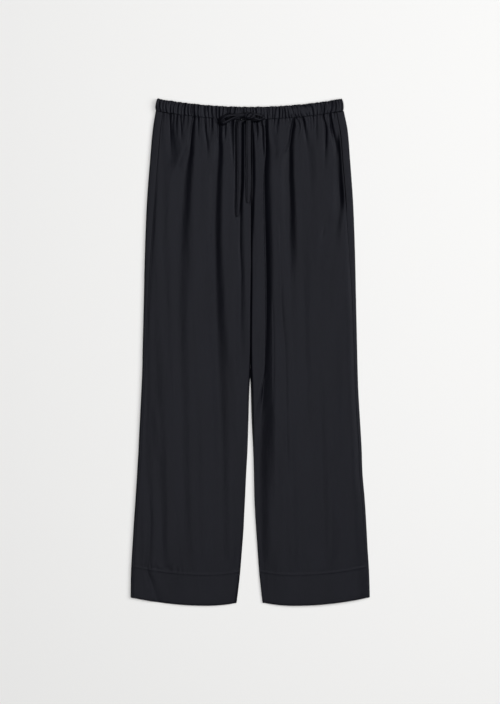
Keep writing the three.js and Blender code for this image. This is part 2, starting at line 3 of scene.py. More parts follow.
import bpy
import numpy as np
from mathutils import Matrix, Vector


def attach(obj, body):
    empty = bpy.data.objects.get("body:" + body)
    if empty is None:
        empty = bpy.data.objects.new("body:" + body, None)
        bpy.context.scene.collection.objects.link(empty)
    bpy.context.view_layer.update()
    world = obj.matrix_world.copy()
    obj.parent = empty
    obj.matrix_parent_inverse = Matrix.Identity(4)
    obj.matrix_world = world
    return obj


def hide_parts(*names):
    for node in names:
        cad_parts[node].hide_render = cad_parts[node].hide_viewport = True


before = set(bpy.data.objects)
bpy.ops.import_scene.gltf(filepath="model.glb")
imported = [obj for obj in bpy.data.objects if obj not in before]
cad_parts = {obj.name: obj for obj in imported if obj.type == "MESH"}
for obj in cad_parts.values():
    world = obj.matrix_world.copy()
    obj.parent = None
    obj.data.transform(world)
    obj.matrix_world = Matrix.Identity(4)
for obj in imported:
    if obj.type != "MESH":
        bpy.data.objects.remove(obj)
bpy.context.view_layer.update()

# Camera
# The pants lie flat and are seen from straight above through a long lens, which keeps their edges upright.
# One pixel of the picture is 2.07 mm on the cloth.
PICTURE_HEIGHT = 704
PIXEL = 0.00207
CAMERA_HEIGHT = 4.2
SENSOR = 36
camera_lens = bpy.data.cameras.new("overhead_camera")
camera_lens.sensor_fit = "VERTICAL"
camera_lens.sensor_height = SENSOR
camera_lens.lens = SENSOR * CAMERA_HEIGHT / (PICTURE_HEIGHT * PIXEL)
camera = bpy.data.objects.new("overhead_camera", camera_lens)
camera.location = (0, 0, CAMERA_HEIGHT)
bpy.context.scene.collection.objects.link(camera)
bpy.context.scene.camera = camera

# Drawstring, free ends
# Two flat strips of the pants' own satin, folded lengthwise and sewn along one edge, with tapered tips. They
# come out from under the bow's knot and lie on the front panels, side by side.
TIE_CLOTH = 0.0016
TIE_NAVY = (0.0028, 0.0029, 0.0048)
RIGHT_TIE = [  # the middle of the strip: x, y, z, and its width
    (-0.0216, 0.4788, 0.0114, 0.0104),
    (-0.0236, 0.47, 0.0103, 0.0106),
    (-0.0247, 0.46, 0.0096, 0.0106),
    (-0.0251, 0.449, 0.009, 0.0106),
    (-0.0253, 0.437, 0.0085, 0.0106),
    (-0.0254, 0.424, 0.0082, 0.0106),
    (-0.0254, 0.41, 0.008, 0.0106),
    (-0.0254, 0.396, 0.008, 0.0106),
    (-0.0253, 0.382, 0.008, 0.0106),
    (-0.0253, 0.368, 0.008, 0.0106),
    (-0.0253, 0.354, 0.008, 0.0108),
    (-0.0251, 0.34, 0.008, 0.011),
    (-0.0254, 0.326, 0.008, 0.0112),
    (-0.0258, 0.312, 0.008, 0.011),
    (-0.0264, 0.3, 0.008, 0.0096),
    (-0.027, 0.289, 0.008, 0.0074),
    (-0.0274, 0.28, 0.008, 0.0056),
]
LEFT_TIE = [
    (-0.003, 0.4788, 0.0114, 0.0096),
    (-0.003, 0.469, 0.0103, 0.0098),
    (-0.003, 0.458, 0.0096, 0.0098),
    (-0.003, 0.446, 0.009, 0.0098),
    (-0.003, 0.433, 0.0085, 0.0098),
    (-0.0032, 0.419, 0.0082, 0.0098),
    (-0.0032, 0.405, 0.008, 0.0098),
    (-0.0032, 0.391, 0.008, 0.0098),
    (-0.0032, 0.377, 0.008, 0.0098),
    (-0.0032, 0.363, 0.008, 0.0098),
    (-0.0035, 0.349, 0.008, 0.0098),
    (-0.0035, 0.336, 0.008, 0.0096),
    (-0.0036, 0.324, 0.008, 0.0086),
    (-0.0038, 0.314, 0.008, 0.0072),
    (-0.0039, 0.3085, 0.008, 0.0062),
]


def smooth(start, end, value):
    t = np.clip((np.asarray(value, float) - start) / (end - start), 0, 1)
    return t * t * (3 - 2 * t)


SATIN_GLOSS = 0.116
GLOSS_TINT = (0.86, 0.875, 1, 1)
SHEEN, SHEEN_ROUGHNESS = 0.01, 0.4
SHEEN_TINT = (0.8, 0.84, 1, 1)
DYE_STRETCH = (1, 0.3, 1)  # the dye is uneven in patches that are long in the direction of the warp
DYE_SCALE, DYE_DETAIL = 28, 4
DYE_FROM, DYE_TO = 0.3, 0.7
DYE_SPREAD = 0.14  # so much darker and lighter than the cloth's own colour
CREASE_STRETCH = (1, 0.22, 1)
CREASE_DETAIL, CREASE_ROUGHNESS = 3, 0.55
WEAVE = [("X", 0.0006, 0.00005), ("Y", 0.0009, 0.00003)]  # way across the threads, pitch and height
WEAVE_SCALE = 2 * math.pi / 20  # of a wave texture whose pitch is one metre
WEAVE_DISTORTION, WEAVE_STRENGTH = 0.8, 0.6


def satin(name, color, roughness, crease_size, crease_height):
    """Satin-faced viscose: near-black, with a soft sheen, a fine weave and small creases down the cloth."""
    material = bpy.data.materials.new(name)
    material.use_nodes = True
    nodes, links = material.node_tree.nodes, material.node_tree.links
    place = nodes.new("ShaderNodeTexCoord").outputs["Object"]

    def fed(node, values, sources):
        """Gives some of a node's inputs a value and others what another node puts out."""
        for socket, value in values.items():
            node.inputs[socket].default_value = value
        for socket, source in sources.items():
            links.new(source, node.inputs[socket])
        return node

    def noise(stretch, values):
        mapping = fed(nodes.new("ShaderNodeMapping"), {"Scale": stretch}, {"Vector": place})
        texture = fed(nodes.new("ShaderNodeTexNoise"), values, {"Vector": mapping.outputs["Vector"]})
        return texture.outputs["Fac"]

    dye = noise(DYE_STRETCH, {"Scale": DYE_SCALE, "Detail": DYE_DETAIL})
    shades = fed(nodes.new("ShaderNodeValToRGB"), {}, {"Fac": dye})
    darker, lighter = shades.color_ramp.elements
    darker.position, lighter.position = DYE_FROM, DYE_TO
    darker.color = (*((1 - DYE_SPREAD) * c for c in color), 1)
    lighter.color = (*((1 + DYE_SPREAD) * c for c in color), 1)

    # Small creases, then the weave: warp floats run down the cloth and the weft crosses them
    creases = noise(
        CREASE_STRETCH,
        {"Scale": 1 / crease_size, "Detail": CREASE_DETAIL, "Roughness": CREASE_ROUGHNESS},
    )
    bump = fed(nodes.new("ShaderNodeBump"), {"Strength": 1, "Distance": crease_height}, {"Height": creases})
    for direction, pitch, depth in WEAVE:
        threads = fed(
            nodes.new("ShaderNodeTexWave"),
            {"Scale": WEAVE_SCALE / pitch, "Distortion": WEAVE_DISTORTION, "Detail": 1},
            {"Vector": place},
        )
        threads.bands_direction = direction
        bump = fed(
            nodes.new("ShaderNodeBump"),
            {"Strength": WEAVE_STRENGTH, "Distance": depth},
            {"Height": threads.outputs["Fac"], "Normal": bump.outputs["Normal"]},
        )
    shine = {
        "Roughness": roughness,
        "Specular IOR Level": SATIN_GLOSS,
        "Specular Tint": GLOSS_TINT,
        "Sheen Weight": SHEEN,
        "Sheen Roughness": SHEEN_ROUGHNESS,
        "Sheen Tint": SHEEN_TINT,
    }
    surface = {"Base Color": shades.outputs["Color"], "Normal": bump.outputs["Normal"]}
    fed(nodes["Principled BSDF"], shine, surface)
    return material


def build(name, points, faces, material):
    """A smooth mesh object of its own, with its faces pointing out."""
    points = np.asarray(points, float)
    corners = np.array([face[:3] for face in faces])
    a, b, c = (points[corners[:, k]] for k in range(3))
    if np.einsum("ij,ij->i", a, np.cross(b, c)).sum() < 0:
        faces = [face[::-1] for face in faces]
    mesh = bpy.data.meshes.new(name)
    mesh.from_pydata(points.tolist(), [], faces)
    mesh.polygons.foreach_set("use_smooth", [True] * len(mesh.polygons))
    mesh.materials.append(material)
    piece = bpy.data.objects.new(name, mesh)
    bpy.context.scene.collection.objects.link(piece)
    return piece


def tube_faces(rings, sides):
    """Faces of a tube of that many rings, with both ends closed."""
    faces = [
        (r * sides + k, r * sides + (k + 1) % sides, (r + 1) * sides + (k + 1) % sides, (r + 1) * sides + k)
        for r in range(rings - 1)
        for k in range(sides)
    ]
    ends = [tuple(range(sides))[::-1], tuple(range((rings - 1) * sides, rings * sides))]
    return faces + ends


def through(rows, steps):
    """A smooth line through the rows of a table, with that many steps between two rows."""
    rows = np.asarray(rows, float)
    slopes = np.gradient(rows, axis=0)
    line = []
    for k in range(len(rows) - 1):
        for t in np.arange(steps) / steps:
            line.append(
                rows[k] * (1 + 2 * t) * (1 - t) ** 2
                + rows[k + 1] * t * t * (3 - 2 * t)
                + slopes[k] * t * (1 - t) ** 2
                - slopes[k + 1] * t * t * (1 - t)
            )
    return np.array([*line, rows[-1]])


tie_satin = satin("tie_satin", TIE_NAVY, roughness=0.42, crease_size=0.006, crease_height=0.0003)
# Section of a strip, as shares of its half width and half thickness: sewn edge, pressed groove, folded edge
STRIP_SECTION = [
    (1, 0), (0.97, 0.6), (0.88, 0.95), (0.66, 1), (0.4, 1), (0.2, 1), (0.12, 1), (0.05, 1), (0, 1),
    (-0.05, 1), (-0.12, 1), (-0.2, 1), (-0.4, 0.95), (-0.56, 0.62), (-0.66, 0.5), (-0.76, 0.66),
    (-0.88, 0.92), (-0.97, 0.6), (-1, 0), (-0.94, -0.7), (-0.66, -1), (-0.33, -1), (0, -1), (0.33, -1),
    (0.66, -1), (0.95, -0.6),
]
RIDGE_WIDTH = 0.09  # of the sharp crease, as a share of half the strip's width
TENT_POWER = 1.2  # 1 slopes a strip's sides evenly down from its middle


def strip(name, node, middle, widths, rolls, tent, ridge=0):
    """A strip along a line. Roll turns it about the line, tent is how far its middle stands over its edges,
    and ridge is the height of a sharp crease along its middle."""
    heading = np.gradient(middle, axis=0)
    heading /= np.linalg.norm(heading, axis=1)[:, None]
    level = np.cross((0, 0, 1), heading)
    level /= np.linalg.norm(level, axis=1)[:, None]
    rise = np.cross(heading, level)
    turn = np.radians(rolls)[:, None]
    across = np.cos(turn) * level + np.sin(turn) * rise
    up = np.cos(turn) * rise - np.sin(turn) * level
    points = []
    for k, place in enumerate(middle):
        for w, h in STRIP_SECTION:
            height = h * TIE_CLOTH / 2 + tent[k] * (0.5 - abs(w) ** TENT_POWER)
            if h > 0:
                height += ridge * math.exp(-((w / RIDGE_WIDTH) ** 2))
            points.append(place + across[k] * w * widths[k] / 2 + up[k] * height)
    piece = build(name, points, tube_faces(len(middle), len(STRIP_SECTION)), tie_satin)
    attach(piece, "root")
    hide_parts(node)
    return piece


def free_end(name, node, table, length, tent_height, roll, ridge):
    """A free end along its table, which twists a little and swells a little as it goes down."""
    rows = through(table, 6)
    middle, widths = rows[:, :3], rows[:, 3]
    down = np.linspace(0, 1, len(rows))
    rolls = roll + 3 * np.sin(down * 9 + length * 50)
    tent = tent_height * (0.85 + 0.15 * np.sin(down * 17)) * widths / widths.max()
    piece = strip(name, node, middle, widths, rolls, tent, ridge)


free_end(
    "drawstring_free_end_right", "drawstring_tail_right", RIGHT_TIE,
    length=0.2, tent_height=0.0012, roll=14, ridge=-0.0006,
)
free_end(
    "drawstring_free_end_left", "drawstring_tail_left", LEFT_TIE,
    length=0.171, tent_height=0.0006, roll=-2, ridge=0,
)

# Leg panels, front
# Each is one wide panel of satin from the waistband to a deep turned-up hem. The elastic gathers its upper
# edge, from which the fullness falls in long folds. It is sewn to the back at the side seam and the inseam.
NAVY = (0.0026, 0.0028, 0.0048)
WAIST_SEAM_Y = 0.4808  # seam under the waistband, at the centre front
WAIST_RISE = 0.017  # the seam lies this much higher at the sides
WAIST_HALF = 0.19  # half the relaxed waist
CROTCH_Y = 0.19
HEM_Y = -0.525  # lowest point of a leg
HEM_LOW_X = 0.09  # its distance from the centre
HEM_OUTER_RISE, HEM_OUTER_RUN = 0.0173, 0.156  # the hem rises this much at the side seam, over this width
HEM_INNER_RISE, HEM_INNER_RUN = 0.0055, 0.06  # and this much at the inseam
HEM_SHARE = 0.933  # the hem's sewn line lies at this share of a panel's length
HEM_DEPTH = 0.067  # and this far above the edge
PANEL_LENGTH = WAIST_SEAM_Y - HEM_Y
EDGE_X = 0.215  # where the outer edges lie, roughly
PANEL_MIDDLE_X = 0.1
PANEL_COLUMNS = 170
SHEET = 0.0007  # the cloth as it shows
SEAM_GAP = 0.0003
LOWEST = 0.0022  # outer face of the front where it lies on the back
SIDE_Z = 0.0054  # and at its side seam
OUTLINE = [  # y, right edge, left edge, line between the legs, half their gap, side seam's inset
    (0.525, -0.191, 0.19, 0, 0, 0.015),
    (0.498, -0.1958, 0.195, 0, 0, 0.0155),
    (0.46, -0.2014, 0.2022, 0.0024, 0, 0.016),
    (0.4, -0.2066, 0.207, 0.0031, 0, 0.016),
    (0.31, -0.2132, 0.2133, 0.0035, 0, 0.015),
    (0.21, -0.2173, 0.2171, 0.0028, 0, 0.012),
    (0.107, -0.2196, 0.2194, 0.0018, 0, 0.008),
    (0, -0.2222, 0.2218, 0.0009, 0, 0.0065),
    (-0.035, -0.2228, 0.2226, 0.0006, 0.0002, 0.0062),
    (-0.079, -0.2246, 0.224, 0.0001, 0.0026, 0.006),
    (-0.14, -0.2276, 0.2274, 0.0001, 0.0043, 0.006),
    (-0.203, -0.2306, 0.231, 0.0007, 0.0065, 0.006),
    (-0.255, -0.2335, 0.2328, 0, 0.0083, 0.006),
    (-0.307, -0.2368, 0.2372, -0.0006, 0.0099, 0.006),
    (-0.359, -0.2403, 0.2405, -0.0003, 0.0133, 0.006),
    (-0.41, -0.2433, 0.2432, -0.0005, 0.0172, 0.006),
    (-0.462, -0.2461, 0.2464, -0.0007, 0.0214, 0.006),
    (-0.53, -0.2471, 0.2482, -0.001, 0.0296, 0.006),
]
FULLNESS = [  # y, how high the cloth stands over its lowest place
    (0.498, 0.0062),
    (0.4, 0.0062),
    (0.2, 0.0062),
    (0, 0.006),
    (-0.2, 0.0052),
    (-0.4, 0.0042),
    (-0.462, 0.0032),
    (-0.53, 0.0026),
]
MM = 0.001
# The folds in the fronts, each a few stations down its length, in millimetres: y, x of its lowest line, the
# width of its wall toward the wearer's right and left, and its depth. A roll has a negative depth.
RIGHT_FOLDS = [
    ((490, -184.5, 3, 4, 2.2), (472, -185, 4, 5, 2.4), (448, -186, 5, 6, 1.6), (420, -187, 6, 7, 0)),
    ((488, -166, 4, 5, 1.8), (459, -165.5, 6, 8, 2), (430, -164.5, 8, 9, 1.2), (405, -163, 9, 9, 0)),
    ((484, -158, 3, 3, 1), (462, -157, 4, 4, 0)),
    ((484, -143, 4, 4, 1.8), (462, -142.5, 4, 5, 1.8), (432, -142, 7, 7, 0)),
    ((486, -117.5, 4, 5, 2.6), (459, -120.5, 7, 8, 4), (418, -125, 12, 11, 4.2),
     (366, -136, 28, 20, 4.5), (314, -140, 30, 20, 4.4), (252, -143, 32, 19, 4),
     (190, -144, 34, 22, 2.8), (87, -148, 34, 26, 1.4), (20, -150, 30, 30, 0.6), (-60, -150, 30, 30, 0)),
    ((486, -108, 3, 3, 1.7), (462, -108, 4, 4, 1.1), (440, -108, 5, 5, 0)),
    ((486, -96, 3, 3, 1.6), (459, -93, 5, 5, 2.3), (425, -89, 6, 6, 1.4), (385, -87, 8, 8, 0)),
    ((484, -79.5, 3, 3, 1.7), (468, -80, 3, 3, 0.9), (455, -80, 4, 4, 0)),
    ((484, -65, 7, 5, 3), (459, -64, 8, 7, 4.6), (418, -66, 14, 12, 5.2), (366, -69, 18, 14, 5.4),
     (314, -71, 20, 16, 5.4), (252, -73, 22, 18, 5.4), (159, -72.5, 24, 21, 5.2),
     (87, -71.5, 26, 24, 5), (4, -70, 30, 32, 4.3), (-58, -66, 30, 40, 3.3), (-100, -63, 30, 42, 3),
     (-141, -61, 30, 42, 2.6), (-220, -56, 30, 38, 1), (-280, -53, 30, 30, 0)),
    ((488, -50, 3, 3, 2.6), (470, -51.5, 3, 4, 2.2), (452, -52.5, 4, 4, 2), (430, -52.5, 4, 4, 0)),
    ((484, -38, 5, 4, 2.8), (459, -37.5, 6, 4, 3.6), (418, -36.5, 6, 5, 2.6), (380, -35.5, 7, 6, 1.2),
     (345, -35, 8, 8, 0)),
    ((486, -17.5, 2, 8, 4.4), (459, -18, 2, 11, 6.8), (400, -18.2, 2, 12, 7), (350, -18.5, 2, 11, 6.4),
     (318, -19.5, 3, 6, 4), (270, -20.5, 7, 7, 2.2), (220, -21, 7, 8, 2.2), (159, -18.5, 8, 9, 1.8),
     (90, -19.5, 9, 10, 1.4), (4, -20.5, 9, 10, 0.8), (-60, -21, 10, 10, 0)),
    ((-90, -194, 12, 12, 0), (-141, -193, 12, 13, -0.9), (-190, -190, 13, 14, -0.6),
     (-230, -188, 14, 14, 0)),
    ((-230, -172, 26, 30, 0), (-348, -178, 28, 50, 1.3), (-430, -180, 28, 50, 1.4),
     (-493, -184, 26, 60, 1.6), (-540, -184, 26, 60, 1.4)),
    ((-270, -208, 12, 14, 0), (-348, -206, 10, 14, 1), (-410, -208, 10, 12, 1),
     (-450, -212, 8, 10, 1.3), (-478, -203, 9, 12, 1.7), (-512, -193, 9, 14, 1.4),
     (-540, -188, 9, 14, 1)),
]
LEFT_FOLDS = [
    ((486, 4, 2, 4, 2.6), (459, 4.2, 1.5, 3.5, 4.4), (400, 4.5, 1.5, 5.5, 4.8),
     (355, 4.6, 1.5, 5.5, 4.6), (310, 4.4, 1.2, 4, 3.4), (270, 4.5, 2, 4, 1.4), (230, 5, 5, 5, 0)),
    ((484, 13, 2.5, 2.5, 2.4), (462, 14, 2.5, 3, 2.8), (440, 14, 4, 4, 0.8), (420, 14, 4, 4, 0)),
    ((484, 23.5, 4, 3, 1.6), (459, 23.5, 6, 4, 2.2), (418, 24.5, 7, 4, 1.7), (392, 26, 6, 4, 0.6),
     (370, 27, 5, 5, 0)),
    ((488, 33, 2.5, 3, 3), (459, 31.2, 2.5, 7, 5.8), (438, 31.8, 2.5, 9, 6.4), (414, 31.6, 3, 12, 6.8),
     (385, 29, 3, 14, 7.2), (355, 27.4, 3, 16, 7.4), (314, 27.2, 3, 18, 7.6), (273, 28, 3, 18, 7.6),
     (221, 29.2, 3, 18, 7.6), (159, 30.4, 3, 18, 7.4), (87, 31, 3, 18, 7.2), (25, 30.6, 4, 21, 6.9),
     (-20, 30.2, 5, 21, 6.5), (-58, 28.8, 7, 22, 6.2), (-100, 26, 10, 26, 5.8), (-141, 23, 13, 33, 5.3),
     (-200, 20, 16, 38, 4.4), (-244, 18, 18, 42, 3.8), (-300, 18, 20, 46, 3.2), (-348, 19, 20, 50, 2.9),
     (-410, 20, 20, 54, 2.6), (-462, 22, 20, 58, 2.3), (-505, 22, 20, 60, 2), (-540, 22, 20, 60, 1.6)),
    ((110, 46.5, 2, 6, 0), (87, 47, 2, 6, 0.6), (25, 48.5, 2, 8, 0.6), (-58, 48.5, 3, 8, 0.5),
     (-115, 48, 4, 8, 0)),
    ((25, 62, 20, 50, 0), (-58, 58, 24, 60, -1.4), (-141, 56, 34, 60, -3.2), (-200, 54, 34, 60, -3.4),
     (-244, 53, 34, 60, -3.4), (-300, 53, 34, 60, -3), (-348, 54, 34, 60, -2.4),
     (-410, 57, 36, 60, -1.8), (-462, 62, 40, 60, -1.2), (-510, 66, 40, 60, -0.8),
     (-540, 66, 40, 60, -0.6)),
    ((486, 54, 4, 4, 1), (462, 55, 4, 4, 0.8), (446, 56, 4, 4, 0)),
    ((270, 156, 6, 8, 0), (246, 151, 7, 9, 1.8), (226, 148, 7, 8, 0)),
    ((300, 62, 7, 7, 0), (221, 63, 7, 7, 0.9), (87, 66, 8, 8, 0.8), (4, 73, 9, 9, 0.7),
     (-200, 77, 10, 10, 0.8), (-260, 78, 10, 10, 0)),
    ((486, 91, 3, 5, 3), (459, 86, 6, 8, 4.6), (438, 83.5, 7, 9, 4.8), (418, 80.5, 12, 11, 5),
     (387, 79.5, 24, 13, 5), (355, 79.5, 28, 14, 4.9), (314, 81, 28, 15, 4.8), (252, 80.5, 28, 19, 4.5),
     (190, 82, 22, 22, 3), (130, 84, 24, 24, 1.4), (60, 86, 24, 24, 0.8), (-100, 90, 24, 24, 0.5),
     (-200, 92, 24, 24, 0)),
    ((488, 107, 4, 4, 2.8), (475, 110.5, 5, 5, 3.4), (459, 113, 6, 7, 2.6), (438, 116, 8, 9, 2),
     (410, 119, 10, 12, 1.3), (360, 122, 12, 12, 0.5), (320, 123, 12, 12, 0)),
    ((484, 136, 4, 4, 1.4), (459, 136.5, 6, 6, 1.2), (430, 137, 7, 7, 0)),
    ((488, 150, 3, 3, 2), (467, 155.5, 6, 5, 3.2), (438, 155.5, 8, 7, 3.4), (414, 155, 9, 9, 2),
     (385, 153, 10, 10, 1), (340, 151, 12, 12, 0)),
    ((490, 166, 2.5, 3, 3.8), (478, 167.5, 4, 4, 5), (464, 169, 5, 5, 4.4), (445, 173, 7, 7, 3),
     (425, 178, 8, 8, 1.6), (405, 180, 8, 8, 0)),
    ((462, 182, 9, 9, 0), (440, 182, 12, 11, 1.5), (418, 182.5, 14, 11, 2.1), (366, 183.5, 16, 11, 2.8),
     (342, 184.5, 18, 12, 3.6), (314, 185, 20, 13, 4.2), (290, 182.5, 20, 15, 4),
     (252, 176, 22, 17, 3.6), (221, 173, 22, 20, 2.8), (159, 168, 24, 22, 1.4), (87, 166, 24, 24, 0.8),
     (20, 166, 24, 24, 0)),
]
FOLD_START = 0.004  # a fold may start this far above its first station
FOLD_SHARP, FOLD_SOFT = 0.009, 0.014  # a wall up to the first width is sharp, and from the second soft
FOLD_SHOULDER = 0.06  # the cloth stands up beside a fold, by this share of its depth
TUCKED_DEPTH = 6  # only a fold this deep, in millimetres, has a lip that hangs over
GATHER_PITCH = 0.0072
TIE_BED = 0.0014  # the cloth gives way this far under the drawstring
TIE_CREASE = 0.0016  # and this much more along its edges
BOW_HOLLOWS = [  # x, y, half its width and half its height, and depth
    (-0.0435, 0.4842, 0.0095, 0.0044, 0.006),
    (-0.013, 0.4805, 0.0085, 0.0062, 0.006),
    (0.0115, 0.4792, 0.009, 0.0032, 0.005),
    (-0.063, 0.4775, 0.008, 0.004, 0.002),
]
LEFT_SWELL = 0.0024  # the front is a little fuller toward the outer edge of the wearer's left leg
POCKET_LIFT, POCKET_LIFT_RUN = 0.0038, 0.012  # how far the edge at the open pocket stands up, and its width
PANEL_GATHERS = 0.0024  # height of the gathers under the waistband
RIPPLE_HEIGHT = 0.001
HEM_PUCKERS = 0.0006  # height of the small puckers above the hem's sewn line
HEM_STEP = 0.0005  # the hem's second ply
HEM_RIDGE = 0.0003  # and the ridge where it is sewn
INSEAM_ROUND, LEG_ROUND = 0.0026, 0.0019  # radius of the inner edge at the top, and what a leg adds
SIDE_ROUND, WAIST_ROUND, HEM_ROUND = 0.0014, 0.0006, 0.0022
WAIST_DIP = 0.0005  # the panel goes down this far at the waist seam


def hump(distance, width):
    """1 at no distance, and less and less the farther off."""
    return np.exp(-((distance / width) ** 2))


def along(table, column, y):
    """A column of a table at y: a smooth curve through its rows."""
    table = np.asarray(table, float)[::-1]
    heights, values = table[:, 0], table[:, column]
    slopes = np.empty_like(values)
    slopes[1:-1] = (values[2:] - values[:-2]) / (heights[2:] - heights[:-2])
    slopes[0] = (values[1] - values[0]) / (heights[1] - heights[0])
    slopes[-1] = (values[-1] - values[-2]) / (heights[-1] - heights[-2])
    y = np.clip(y, heights[0], heights[-1])
    k = np.clip(np.searchsorted(heights, y, side="right") - 1, 0, len(heights) - 2)
    span = heights[k + 1] - heights[k]
    t = (y - heights[k]) / span
    rise = values[k + 1] - values[k]
    start, end = slopes[k] * span, slopes[k + 1] * span
    return values[k] + t * start + t * t * (3 * rise - 2 * start - end) + t**3 * (start + end - 2 * rise)


def waist_seam_y(x):
    return WAIST_SEAM_Y + WAIST_RISE * (x / WAIST_HALF) ** 2


def hem_y(x):
    away = np.abs(x) - HEM_LOW_X
    outer = HEM_OUTER_RISE * (away / HEM_OUTER_RUN) ** 2
    inner = HEM_INNER_RISE * (away / HEM_INNER_RUN) ** 2
    return HEM_Y + np.where(away > 0, outer, inner)


def panel_y(x, share):
    return waist_seam_y(x) * (1 - share) + hem_y(x) * share


def gather_number(x):
    """The gathers run at an uneven pitch: the number of the gather at x."""
    p = x / GATHER_PITCH
    for _ in range(30):
        p = x / GATHER_PITCH - 0.15 * np.sin(2.4 * p) - 0.07 * np.sin(5.3 * p + 1)
    return p


def gathers(x):
    """Height of the gathers between 0 in a valley and 1 on a crest, no two alike."""
    p = gather_number(x)
    strength = 0.68 + 0.32 * np.sin(1.9 * p + 0.7 * np.sin(3.1 * p))
    crest = np.abs(np.sin(np.pi * p)) ** 1.15
    return 1 - strength * (1 - crest)


def lean(x):
    """The gathers near the wearer's left hip lean: the run sideways for each unit down."""
    return 0.55 * hump(x - 0.098, 0.022) + 0.12 * np.sin(x * 60 + 1)


def fold_depths(folds, x, y):
    """How far the folds take the cloth down at x and y."""
    total = 0
    for fold in folds:
        _, middle, before, after, depth = (along(fold, k, y / MM) * MM for k in range(5))
        stations = [row[0] * MM for row in fold]
        inside = (y < stations[0] + FOLD_START) & (y > stations[-1])
        away = x - middle
        u = np.abs(away) / np.where(away < 0, before, after)
        # A narrow fold starts sharply from its lip, a wide one goes over softly
        sharp = (1 - np.clip(np.sqrt(u * u + 0.0025) - 0.05, 0, 1)) ** 1.8
        soft = 1 - smooth(0, 1, u)
        valley = sharp + (soft - sharp) * smooth(FOLD_SHARP, FOLD_SOFT, before)
        shoulder = FOLD_SHOULDER * hump(u - 1.3, 0.35)
        total = total + np.where(inside, depth * (valley - shoulder), 0)
    return total


def tucked(folds, x, y):
    """How far the cloth leans sideways over the deepest fold, whose lip hangs over its bottom."""
    lean_over = np.zeros(np.broadcast(x, y).shape)
    for fold in folds:
        if max(row[4] for row in fold) < TUCKED_DEPTH:
            continue
        _, middle, before, _, depth = (along(fold, k, y / MM) * MM for k in range(5))
        u = np.clip((middle - x) / before, 0, 1)
        beyond = np.clip(middle - before - x, 0, None)
        # Only the steep and narrow part of the fold has the lip
        steep = smooth(4.4 * MM, 5.8 * MM, depth) * smooth(11 * MM, 3 * MM, before)
        early = 1 - (1 - u) ** 2
        leaned = early + steep * (smooth(0, 1, u) - early)
        lean_over = lean_over + 1.35 * before * steep * leaned * np.exp(-beyond / 0.009)
    return lean_over


def under_ties(x, y):
    """How far the cloth gives way under the drawstring's free ends, with a crease along their edges."""
    given = np.zeros(np.broadcast(x, y).shape)
    for table in (RIGHT_TIE, LEFT_TIE):
        rows = [(tie_y, tie_x, width) for tie_x, tie_y, _, width in table]
        from_edge = np.abs(x - along(rows, 1, y)) - along(rows, 2, y) / 2
        here = smooth(rows[-1][0] - 0.005, rows[-1][0] + 0.004, y)
        bed = TIE_BED * (1 - smooth(0, 0.004, from_edge)) + TIE_CREASE * hump(from_edge, 0.0012)
        given = np.maximum(given, here * bed)
    return given


def under_bow(x, y):
    """How far the cloth sinks in the shade of the bow's loops and knot."""
    given = 0 * (x + y)
    for middle_x, middle_y, half_x, half_y, depth in BOW_HOLLOWS:
        far = ((x - middle_x) / half_x) ** 2 + ((y - middle_y) / half_y) ** 2
        given = given + depth * np.exp(-(far**2))
    return given


def pocket_mouth(out, y):
    """Between 0 and 1: where the side seam of the wearer's left gapes at the pocket."""
    return smooth(0.285, 0.33, y) * smooth(0.462, 0.43, y) if out > 0 else 0 * y


def side_height(out, y):
    """Height of the outer edge: it lies lower down the wearer's left leg."""
    return SIDE_Z * (1 - 0.2 * (1 - smooth(0, 0.25, y)) * (out > 0))


def seam_depth(out, y):
    """How deep the line of a side seam lies: it shows as far down as the pocket, and hardly at all below."""
    return 0.0001 + 0.0008 * smooth(0.33, 0.46, y) + 0.0026 * pocket_mouth(out, y)


def waist_gathers(x, below):
    """The gathers under the waistband at a distance below it. Each runs down its own way."""
    run = 0.034 + 0.016 * np.sin(x * 71) + 0.009 * np.sin(x * 197 + 1)
    fade = 1 - smooth(0, run, below)
    return PANEL_GATHERS * fade * (gathers(x - lean(x) * below * fade) - 0.6)


def ripples(x, y):
    """Low uneven waves that run down the cloth, between about -1 and 1."""
    return (
        0.42 * np.sin(92 * x + 3.1 * y + 0.8 * np.sin(7 * y))
        + 0.3 * np.sin(151 * x - 5.3 * y + 1.3 * np.sin(4.1 * y + 1))
        + 0.2 * np.sin(243 * x + 8.7 * y + 2.1)
        + 0.12 * np.sin(57 * x + 21 * y + 0.6)
    )


def hem_relief(x, above, clear):
    """The hem's second ply, the ridge at its sewn line and the puckers above it, most on the right."""
    pucker = hump(above - 0.005, 0.006) * np.sin(410 * x + 3 * np.sin(90 * x))
    puckered = 0.2 + 0.8 * hump(x + 0.182, 0.03)
    second_ply = HEM_STEP * smooth(0.001, -0.001, above)
    return HEM_PUCKERS * clear * pucker * puckered + second_ply + HEM_RIDGE * hump(above + 0.003, 0.002)


def fullness(out, x, y, from_seam, from_inner):
    """How high the front stands over its lowest place, apart from its folds. It rounds off towards the light
    on the wearer's left and falls more gently on the right."""
    lift = along(FULLNESS, 1, y)
    if out > 0:
        lift = lift + LEFT_SWELL * smooth(0.06, 0.15, x) * (1 - smooth(0.2, 0.32, y))
        rounding = 0.021 + 0.009 * smooth(-0.12, 0.08, y)
        to_side = (1 - np.clip(from_seam / rounding, 0, 1)) ** 2
    else:
        to_side = 1 - smooth(-0.004, 0.07, from_seam)
    side_lift = side_height(out, y) - LOWEST
    lift = lift - (lift - side_lift) * to_side
    return lift - 0.0006 * (1 - smooth(0.001, 0.016, from_inner))


